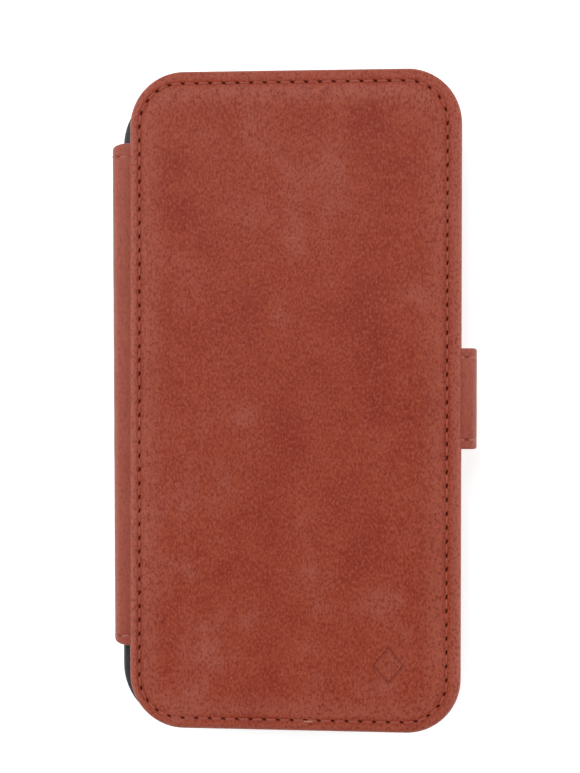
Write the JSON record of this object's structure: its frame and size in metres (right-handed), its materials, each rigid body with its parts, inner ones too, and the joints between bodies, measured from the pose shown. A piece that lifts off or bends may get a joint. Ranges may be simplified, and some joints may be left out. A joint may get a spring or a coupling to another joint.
{
  "type": "phone wallet case",
  "caption": "Folio case for a phone: a hard tray, a leather spine, a padded and stitched front cover with card pockets inside, and a magnetic closing tab.",
  "frame": {"origin": "bottom centre of the closed case's bounding box, 0.4 mm from the middle of the front cover, on the surface that the back lies on", "axes": "+X from the spine to the closing tab, +Y to the top of the phone, +Z from the back to the front cover"},
  "size_m": [0.086, 0.1546, 0.0175],
  "materials": {
    "cover_leather": "semi-matt red-brown leather with fine grain and cloudy mottling",
    "spine_leather": "semi-matt red-brown leather",
    "tab_leather": "semi-matt red-brown leather",
    "back_leather": "semi-matt red-brown leather",
    "lining_leather": "matt smooth lining leather",
    "pocket_leather": "matt smooth leather",
    "thread": "polyester thread in the leather's colour",
    "tray_plastic": "matt dark grey plastic",
    "surround_plastic": "satin black plastic",
    "button_plastic": "satin dark grey plastic",
    "microfibre": "short grey microfibre nap",
    "foam": "closed-cell foam sheet",
    "board": "bonded leather-fibre board",
    "steel": "brushed",
    "magnet": "nickel plated"
  },
  "bodies": {
    "tray": {"phone_shell": "tray_plastic", "back_leather": "back_leather", "camera_surround": "surround_plastic", "tray_lining": "microfibre", "keeper_plate": "steel"},
    "volume_up": {"volume_up_button": "button_plastic"},
    "volume_down": {"volume_down_button": "button_plastic"},
    "side_key": {"side_button": "button_plastic"},
    "spine": {"spine_leather": "spine_leather", "spine_lining": "lining_leather", "spine_stitching": "thread"},
    "front_cover": {"cover_leather": "cover_leather", "cover_foam": "foam", "cover_board": "board", "cover_lining": "lining_leather", "cash_pocket": "pocket_leather", "card_pocket_1": "pocket_leather", "card_pocket_2": "pocket_leather", "card_pocket_3": "pocket_leather", "cover_stitching": "thread", "pocket_stitching": "thread"},
    "closing_tab": {"tab_leather": "tab_leather", "tab_lining": "lining_leather", "tab_magnet": "magnet", "tab_stitching": "thread"}
  },
  "joints": [
    {"name": "spine_fold", "type": "hinge", "parent": "tray", "child": "spine", "pos_m": [-0.0417, 0.00135, 0.0014], "axis": [0, -1, 0], "range_deg": [0, 90]},
    {"name": "cover_fold", "type": "hinge", "parent": "spine", "child": "front_cover", "pos_m": [-0.0417, 0.00135, 0.0161], "axis": [0, -1, 0], "range_deg": [0, 90]},
    {"name": "tab_fold", "type": "hinge", "parent": "front_cover", "child": "closing_tab", "pos_m": [0.0413, 0.0007, 0.015], "axis": [0, -1, 0], "range_deg": [0, 108.5]},
    {"name": "volume_up_press", "type": "slide", "parent": "tray", "child": "volume_up", "axis": [1, 0, 0], "range_m": [0, 0.0003], "stiffness_N_per_m": 300},
    {"name": "volume_down_press", "type": "slide", "parent": "tray", "child": "volume_down", "axis": [1, 0, 0], "range_m": [0, 0.0003], "stiffness_N_per_m": 300},
    {"name": "side_button_press", "type": "slide", "parent": "tray", "child": "side_key", "axis": [-1, 0, 0], "range_m": [0, 0.0003], "stiffness_N_per_m": 300}
  ]
}
